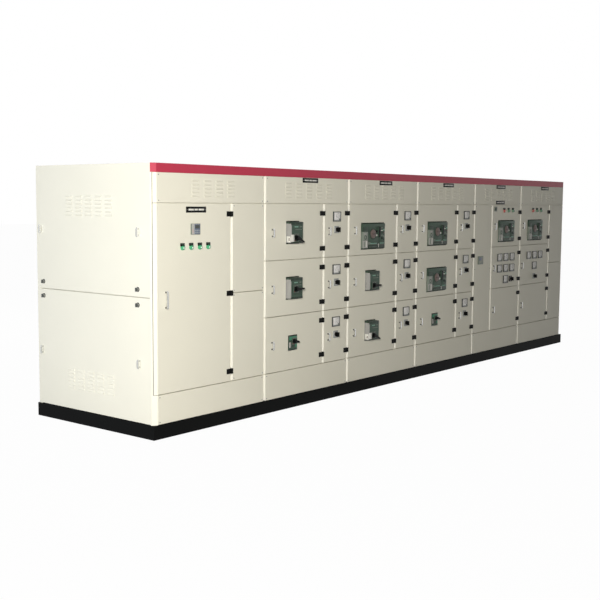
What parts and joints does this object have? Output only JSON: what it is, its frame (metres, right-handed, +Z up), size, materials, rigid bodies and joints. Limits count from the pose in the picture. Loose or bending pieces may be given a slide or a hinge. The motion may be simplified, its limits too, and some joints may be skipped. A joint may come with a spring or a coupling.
{
  "type": "low-voltage main switchboard",
  "caption": "Floor-standing row of switchboard sections with hinged breaker and instrument doors, louvred headers, lock-on end covers, busbars inside and a plinth.",
  "frame": {"origin": "centre of the row's base on the floor, midway between the end faces and between the door fronts and the rear covers", "axes": "+X along the row towards the right end as seen from the front, -Y out of the doors, +Z up"},
  "size_m": [7.296, 1.513, 2.11],
  "materials": {
    "cream_paint": "satin",
    "crimson_paint": "satin",
    "plinth_black": "satin",
    "hinge_black": "satin",
    "zinc_sheet": "zinc plated",
    "copper": "tinned or bare copper",
    "insulator": "moulded",
    "breaker_housing": "moulded",
    "can_aluminium": "drawn",
    "control_black": "moulded"
  },
  "bodies": {
    "switchboard": {"plinth": "plinth_black", "frame": "cream_paint", "side_covers": "cream_paint", "rear_covers": "cream_paint", "roof_covers": "cream_paint", "top_fascia": "crimson_paint", "front_panels": "cream_paint", "partitions": "zinc_sheet", "busbars": "copper", "busbar_supports": "insulator", "air_circuit_breakers": "breaker_housing", "moulded_case_breakers": "breaker_housing", "capacitor_bank": "can_aluminium", "hinge_frame_leaves": "hinge_black"},
    "control_door": {"control_door": "cream_paint"},
    "breaker_door_2_bottom": {"breaker_door_2_bottom": "cream_paint"},
    "breaker_door_2_middle": {"breaker_door_2_middle": "cream_paint"},
    "breaker_door_2_top": {"breaker_door_2_top": "cream_paint"},
    "breaker_door_3_bottom": {"breaker_door_3_bottom": "cream_paint"},
    "breaker_door_3_middle": {"breaker_door_3_middle": "cream_paint"},
    "breaker_door_3_top": {"breaker_door_3_top": "cream_paint"},
    "breaker_door_4_bottom": {"breaker_door_4_bottom": "cream_paint"},
    "breaker_door_4_middle": {"breaker_door_4_middle": "cream_paint"},
    "breaker_door_4_top": {"breaker_door_4_top": "cream_paint"},
    "instrument_door_2_bottom": {"instrument_door_2_bottom": "cream_paint"},
    "instrument_door_2_middle": {"instrument_door_2_middle": "cream_paint"},
    "instrument_door_2_top": {"instrument_door_2_top": "cream_paint"},
    "instrument_door_3_bottom": {"instrument_door_3_bottom": "cream_paint"},
    "instrument_door_3_middle": {"instrument_door_3_middle": "cream_paint"},
    "instrument_door_3_top": {"instrument_door_3_top": "cream_paint"},
    "instrument_door_4_bottom": {"instrument_door_4_bottom": "cream_paint"},
    "instrument_door_4_middle": {"instrument_door_4_middle": "cream_paint"},
    "instrument_door_4_top": {"instrument_door_4_top": "cream_paint"},
    "incomer_door_bottom": {"incomer_door_bottom": "cream_paint"},
    "incomer_door_middle": {"incomer_door_middle": "cream_paint"},
    "incomer_door_top": {"incomer_door_top": "cream_paint"},
    "outgoing_door_bottom": {"outgoing_door_bottom": "cream_paint"},
    "outgoing_door_middle": {"outgoing_door_middle": "cream_paint"},
    "outgoing_door_top": {"outgoing_door_top": "cream_paint"},
    "selector_knob_2_bottom": {"selector_knob_2_bottom": "control_black"},
    "selector_knob_2_middle": {"selector_knob_2_middle": "control_black"},
    "selector_knob_2_top": {"selector_knob_2_top": "control_black"},
    "selector_knob_3_bottom": {"selector_knob_3_bottom": "control_black"},
    "selector_knob_3_middle": {"selector_knob_3_middle": "control_black"},
    "selector_knob_3_top": {"selector_knob_3_top": "control_black"},
    "selector_knob_4_bottom": {"selector_knob_4_bottom": "control_black"},
    "selector_knob_4_middle": {"selector_knob_4_middle": "control_black"},
    "selector_knob_4_top": {"selector_knob_4_top": "control_black"},
    "selector_knob_5": {"selector_knob_5": "control_black"},
    "selector_knob_6": {"selector_knob_6": "control_black"},
    "breaker_handle_2_bottom": {"breaker_handle_2_bottom": "control_black"},
    "breaker_handle_2_middle": {"breaker_handle_2_middle": "control_black"},
    "breaker_handle_2_top": {"breaker_handle_2_top": "control_black"},
    "breaker_handle_3_bottom": {"breaker_handle_3_bottom": "control_black"},
    "breaker_handle_3_middle": {"breaker_handle_3_middle": "control_black"},
    "breaker_handle_4_bottom": {"breaker_handle_4_bottom": "control_black"},
    "cover_lock_upper_front": {"cover_lock_upper_front": "control_black"},
    "cover_lock_lower_front": {"cover_lock_lower_front": "control_black"},
    "cover_lock_upper_rear": {"cover_lock_upper_rear": "control_black"},
    "cover_lock_lower_rear": {"cover_lock_lower_rear": "control_black"}
  },
  "joints": [
    {"name": "control_door_hinge", "type": "hinge", "parent": "switchboard", "child": "control_door", "pos_m": [-2.76, -0.716, 1.076], "axis": [0, 0, 1], "range_deg": [0, 110]},
    {"name": "breaker_door_2_bottom_hinge", "type": "hinge", "parent": "switchboard", "child": "breaker_door_2_bottom", "pos_m": [-1.527, -0.716, 0.58733], "axis": [0, 0, 1], "range_deg": [0, 110]},
    {"name": "breaker_door_2_middle_hinge", "type": "hinge", "parent": "switchboard", "child": "breaker_door_2_middle", "pos_m": [-1.527, -0.716, 1.076], "axis": [0, 0, 1], "range_deg": [0, 110]},
    {"name": "breaker_door_2_top_hinge", "type": "hinge", "parent": "switchboard", "child": "breaker_door_2_top", "pos_m": [-1.527, -0.716, 1.56467], "axis": [0, 0, 1], "range_deg": [0, 110]},
    {"name": "breaker_door_3_bottom_hinge", "type": "hinge", "parent": "switchboard", "child": "breaker_door_3_bottom", "pos_m": [-0.327, -0.716, 0.58733], "axis": [0, 0, 1], "range_deg": [0, 110]},
    {"name": "breaker_door_3_middle_hinge", "type": "hinge", "parent": "switchboard", "child": "breaker_door_3_middle", "pos_m": [-0.327, -0.716, 1.076], "axis": [0, 0, 1], "range_deg": [0, 110]},
    {"name": "breaker_door_3_top_hinge", "type": "hinge", "parent": "switchboard", "child": "breaker_door_3_top", "pos_m": [-0.327, -0.716, 1.56467], "axis": [0, 0, 1], "range_deg": [0, 110]},
    {"name": "breaker_door_4_bottom_hinge", "type": "hinge", "parent": "switchboard", "child": "breaker_door_4_bottom", "pos_m": [0.873, -0.716, 0.58733], "axis": [0, 0, 1], "range_deg": [0, 110]},
    {"name": "breaker_door_4_middle_hinge", "type": "hinge", "parent": "switchboard", "child": "breaker_door_4_middle", "pos_m": [0.873, -0.716, 1.076], "axis": [0, 0, 1], "range_deg": [0, 110]},
    {"name": "breaker_door_4_top_hinge", "type": "hinge", "parent": "switchboard", "child": "breaker_door_4_top", "pos_m": [0.873, -0.716, 1.56467], "axis": [0, 0, 1], "range_deg": [0, 110]},
    {"name": "instrument_door_2_bottom_hinge", "type": "hinge", "parent": "switchboard", "child": "instrument_door_2_bottom", "pos_m": [-1.147, -0.716, 0.58733], "axis": [0, 0, 1], "range_deg": [0, 110]},
    {"name": "instrument_door_2_middle_hinge", "type": "hinge", "parent": "switchboard", "child": "instrument_door_2_middle", "pos_m": [-1.147, -0.716, 1.076], "axis": [0, 0, 1], "range_deg": [0, 110]},
    {"name": "instrument_door_2_top_hinge", "type": "hinge", "parent": "switchboard", "child": "instrument_door_2_top", "pos_m": [-1.147, -0.716, 1.56467], "axis": [0, 0, 1], "range_deg": [0, 110]},
    {"name": "instrument_door_3_bottom_hinge", "type": "hinge", "parent": "switchboard", "child": "instrument_door_3_bottom", "pos_m": [0.053, -0.716, 0.58733], "axis": [0, 0, 1], "range_deg": [0, 110]},
    {"name": "instrument_door_3_middle_hinge", "type": "hinge", "parent": "switchboard", "child": "instrument_door_3_middle", "pos_m": [0.053, -0.716, 1.076], "axis": [0, 0, 1], "range_deg": [0, 110]},
    {"name": "instrument_door_3_top_hinge", "type": "hinge", "parent": "switchboard", "child": "instrument_door_3_top", "pos_m": [0.053, -0.716, 1.56467], "axis": [0, 0, 1], "range_deg": [0, 110]},
    {"name": "instrument_door_4_bottom_hinge", "type": "hinge", "parent": "switchboard", "child": "instrument_door_4_bottom", "pos_m": [1.253, -0.716, 0.58733], "axis": [0, 0, 1], "range_deg": [0, 110]},
    {"name": "instrument_door_4_middle_hinge", "type": "hinge", "parent": "switchboard", "child": "instrument_door_4_middle", "pos_m": [1.253, -0.716, 1.076], "axis": [0, 0, 1], "range_deg": [0, 110]},
    {"name": "instrument_door_4_top_hinge", "type": "hinge", "parent": "switchboard", "child": "instrument_door_4_top", "pos_m": [1.253, -0.716, 1.56467], "axis": [0, 0, 1], "range_deg": [0, 110]},
    {"name": "incomer_door_bottom_hinge", "type": "hinge", "parent": "switchboard", "child": "incomer_door_bottom", "pos_m": [2.383, -0.716, 0.58733], "axis": [0, 0, 1], "range_deg": [0, 110]},
    {"name": "incomer_door_middle_hinge", "type": "hinge", "parent": "switchboard", "child": "incomer_door_middle", "pos_m": [2.383, -0.716, 1.076], "axis": [0, 0, 1], "range_deg": [0, 110]},
    {"name": "incomer_door_top_hinge", "type": "hinge", "parent": "switchboard", "child": "incomer_door_top", "pos_m": [2.383, -0.716, 1.56467], "axis": [0, 0, 1], "range_deg": [0, 110]},
    {"name": "outgoing_door_bottom_hinge", "type": "hinge", "parent": "switchboard", "child": "outgoing_door_bottom", "pos_m": [3.183, -0.716, 0.58733], "axis": [0, 0, 1], "range_deg": [0, 110]},
    {"name": "outgoing_door_middle_hinge", "type": "hinge", "parent": "switchboard", "child": "outgoing_door_middle", "pos_m": [3.183, -0.716, 1.076], "axis": [0, 0, 1], "range_deg": [0, 110]},
    {"name": "outgoing_door_top_hinge", "type": "hinge", "parent": "switchboard", "child": "outgoing_door_top", "pos_m": [3.183, -0.716, 1.56467], "axis": [0, 0, 1], "range_deg": [0, 110]},
    {"name": "selector_knob_2_bottom_turn", "type": "hinge", "parent": "instrument_door_2_bottom", "child": "selector_knob_2_bottom", "pos_m": [-1.33, -0.718, 0.59567], "axis": [0, -1, 0], "range_deg": [-90, 90]},
    {"name": "selector_knob_2_middle_turn", "type": "hinge", "parent": "instrument_door_2_middle", "child": "selector_knob_2_middle", "pos_m": [-1.33, -0.718, 1.08433], "axis": [0, -1, 0], "range_deg": [-90, 90]},
    {"name": "selector_knob_2_top_turn", "type": "hinge", "parent": "instrument_door_2_top", "child": "selector_knob_2_top", "pos_m": [-1.33, -0.718, 1.573], "axis": [0, -1, 0], "range_deg": [-90, 90]},
    {"name": "selector_knob_3_bottom_turn", "type": "hinge", "parent": "instrument_door_3_bottom", "child": "selector_knob_3_bottom", "pos_m": [-0.13, -0.718, 0.59567], "axis": [0, -1, 0], "range_deg": [-90, 90]},
    {"name": "selector_knob_3_middle_turn", "type": "hinge", "parent": "instrument_door_3_middle", "child": "selector_knob_3_middle", "pos_m": [-0.13, -0.718, 1.08433], "axis": [0, -1, 0], "range_deg": [-90, 90]},
    {"name": "selector_knob_3_top_turn", "type": "hinge", "parent": "instrument_door_3_top", "child": "selector_knob_3_top", "pos_m": [-0.13, -0.718, 1.573], "axis": [0, -1, 0], "range_deg": [-90, 90]},
    {"name": "selector_knob_4_bottom_turn", "type": "hinge", "parent": "instrument_door_4_bottom", "child": "selector_knob_4_bottom", "pos_m": [1.07, -0.718, 0.59567], "axis": [0, -1, 0], "range_deg": [-90, 90]},
    {"name": "selector_knob_4_middle_turn", "type": "hinge", "parent": "instrument_door_4_middle", "child": "selector_knob_4_middle", "pos_m": [1.07, -0.718, 1.08433], "axis": [0, -1, 0], "range_deg": [-90, 90]},
    {"name": "selector_knob_4_top_turn", "type": "hinge", "parent": "instrument_door_4_top", "child": "selector_knob_4_top", "pos_m": [1.07, -0.718, 1.573], "axis": [0, -1, 0], "range_deg": [-90, 90]},
    {"name": "selector_knob_5_turn", "type": "hinge", "parent": "incomer_door_middle", "child": "selector_knob_5", "pos_m": [2.161, -0.718, 0.92733], "axis": [0, -1, 0], "range_deg": [-90, 90]},
    {"name": "selector_knob_6_turn", "type": "hinge", "parent": "outgoing_door_middle", "child": "selector_knob_6", "pos_m": [2.79, -0.718, 0.92733], "axis": [0, -1, 0], "range_deg": [-90, 90]},
    {"name": "breaker_handle_2_bottom_turn", "type": "hinge", "parent": "switchboard", "child": "breaker_handle_2_bottom", "pos_m": [-1.949, -0.722, 0.59633], "axis": [0, -1, 0], "range_deg": [0, 105]},
    {"name": "breaker_handle_2_middle_turn", "type": "hinge", "parent": "switchboard", "child": "breaker_handle_2_middle", "pos_m": [-1.979, -0.764, 1.065], "axis": [0, -1, 0], "range_deg": [0, 90]},
    {"name": "breaker_handle_2_top_turn", "type": "hinge", "parent": "switchboard", "child": "breaker_handle_2_top", "pos_m": [-1.979, -0.764, 1.51367], "axis": [0, -1, 0], "range_deg": [0, 117]},
    {"name": "breaker_handle_3_bottom_turn", "type": "hinge", "parent": "switchboard", "child": "breaker_handle_3_bottom", "pos_m": [-0.779, -0.764, 0.53633], "axis": [0, -1, 0], "range_deg": [0, 117]},
    {"name": "breaker_handle_3_middle_turn", "type": "hinge", "parent": "switchboard", "child": "breaker_handle_3_middle", "pos_m": [-0.779, -0.764, 1.025], "axis": [0, -1, 0], "range_deg": [0, 90]},
    {"name": "breaker_handle_4_bottom_turn", "type": "hinge", "parent": "switchboard", "child": "breaker_handle_4_bottom", "pos_m": [0.451, -0.722, 0.59633], "axis": [0, -1, 0], "range_deg": [0, 105]},
    {"name": "cover_lock_upper_front_turn", "type": "hinge", "parent": "switchboard", "child": "cover_lock_upper_front", "pos_m": [-3.62, -0.54, 1.15], "axis": [1, 0, 0], "range_deg": [0, 90]},
    {"name": "cover_lock_lower_front_turn", "type": "hinge", "parent": "switchboard", "child": "cover_lock_lower_front", "pos_m": [-3.62, -0.54, 1.03], "axis": [-1, 0, 0], "range_deg": [0, 90]},
    {"name": "cover_lock_upper_rear_turn", "type": "hinge", "parent": "switchboard", "child": "cover_lock_upper_rear", "pos_m": [-3.62, 0.625, 1.15], "axis": [-1, 0, 0], "range_deg": [0, 90]},
    {"name": "cover_lock_lower_rear_turn", "type": "hinge", "parent": "switchboard", "child": "cover_lock_lower_rear", "pos_m": [-3.62, 0.625, 1.03], "axis": [1, 0, 0], "range_deg": [0, 90]}
  ]
}
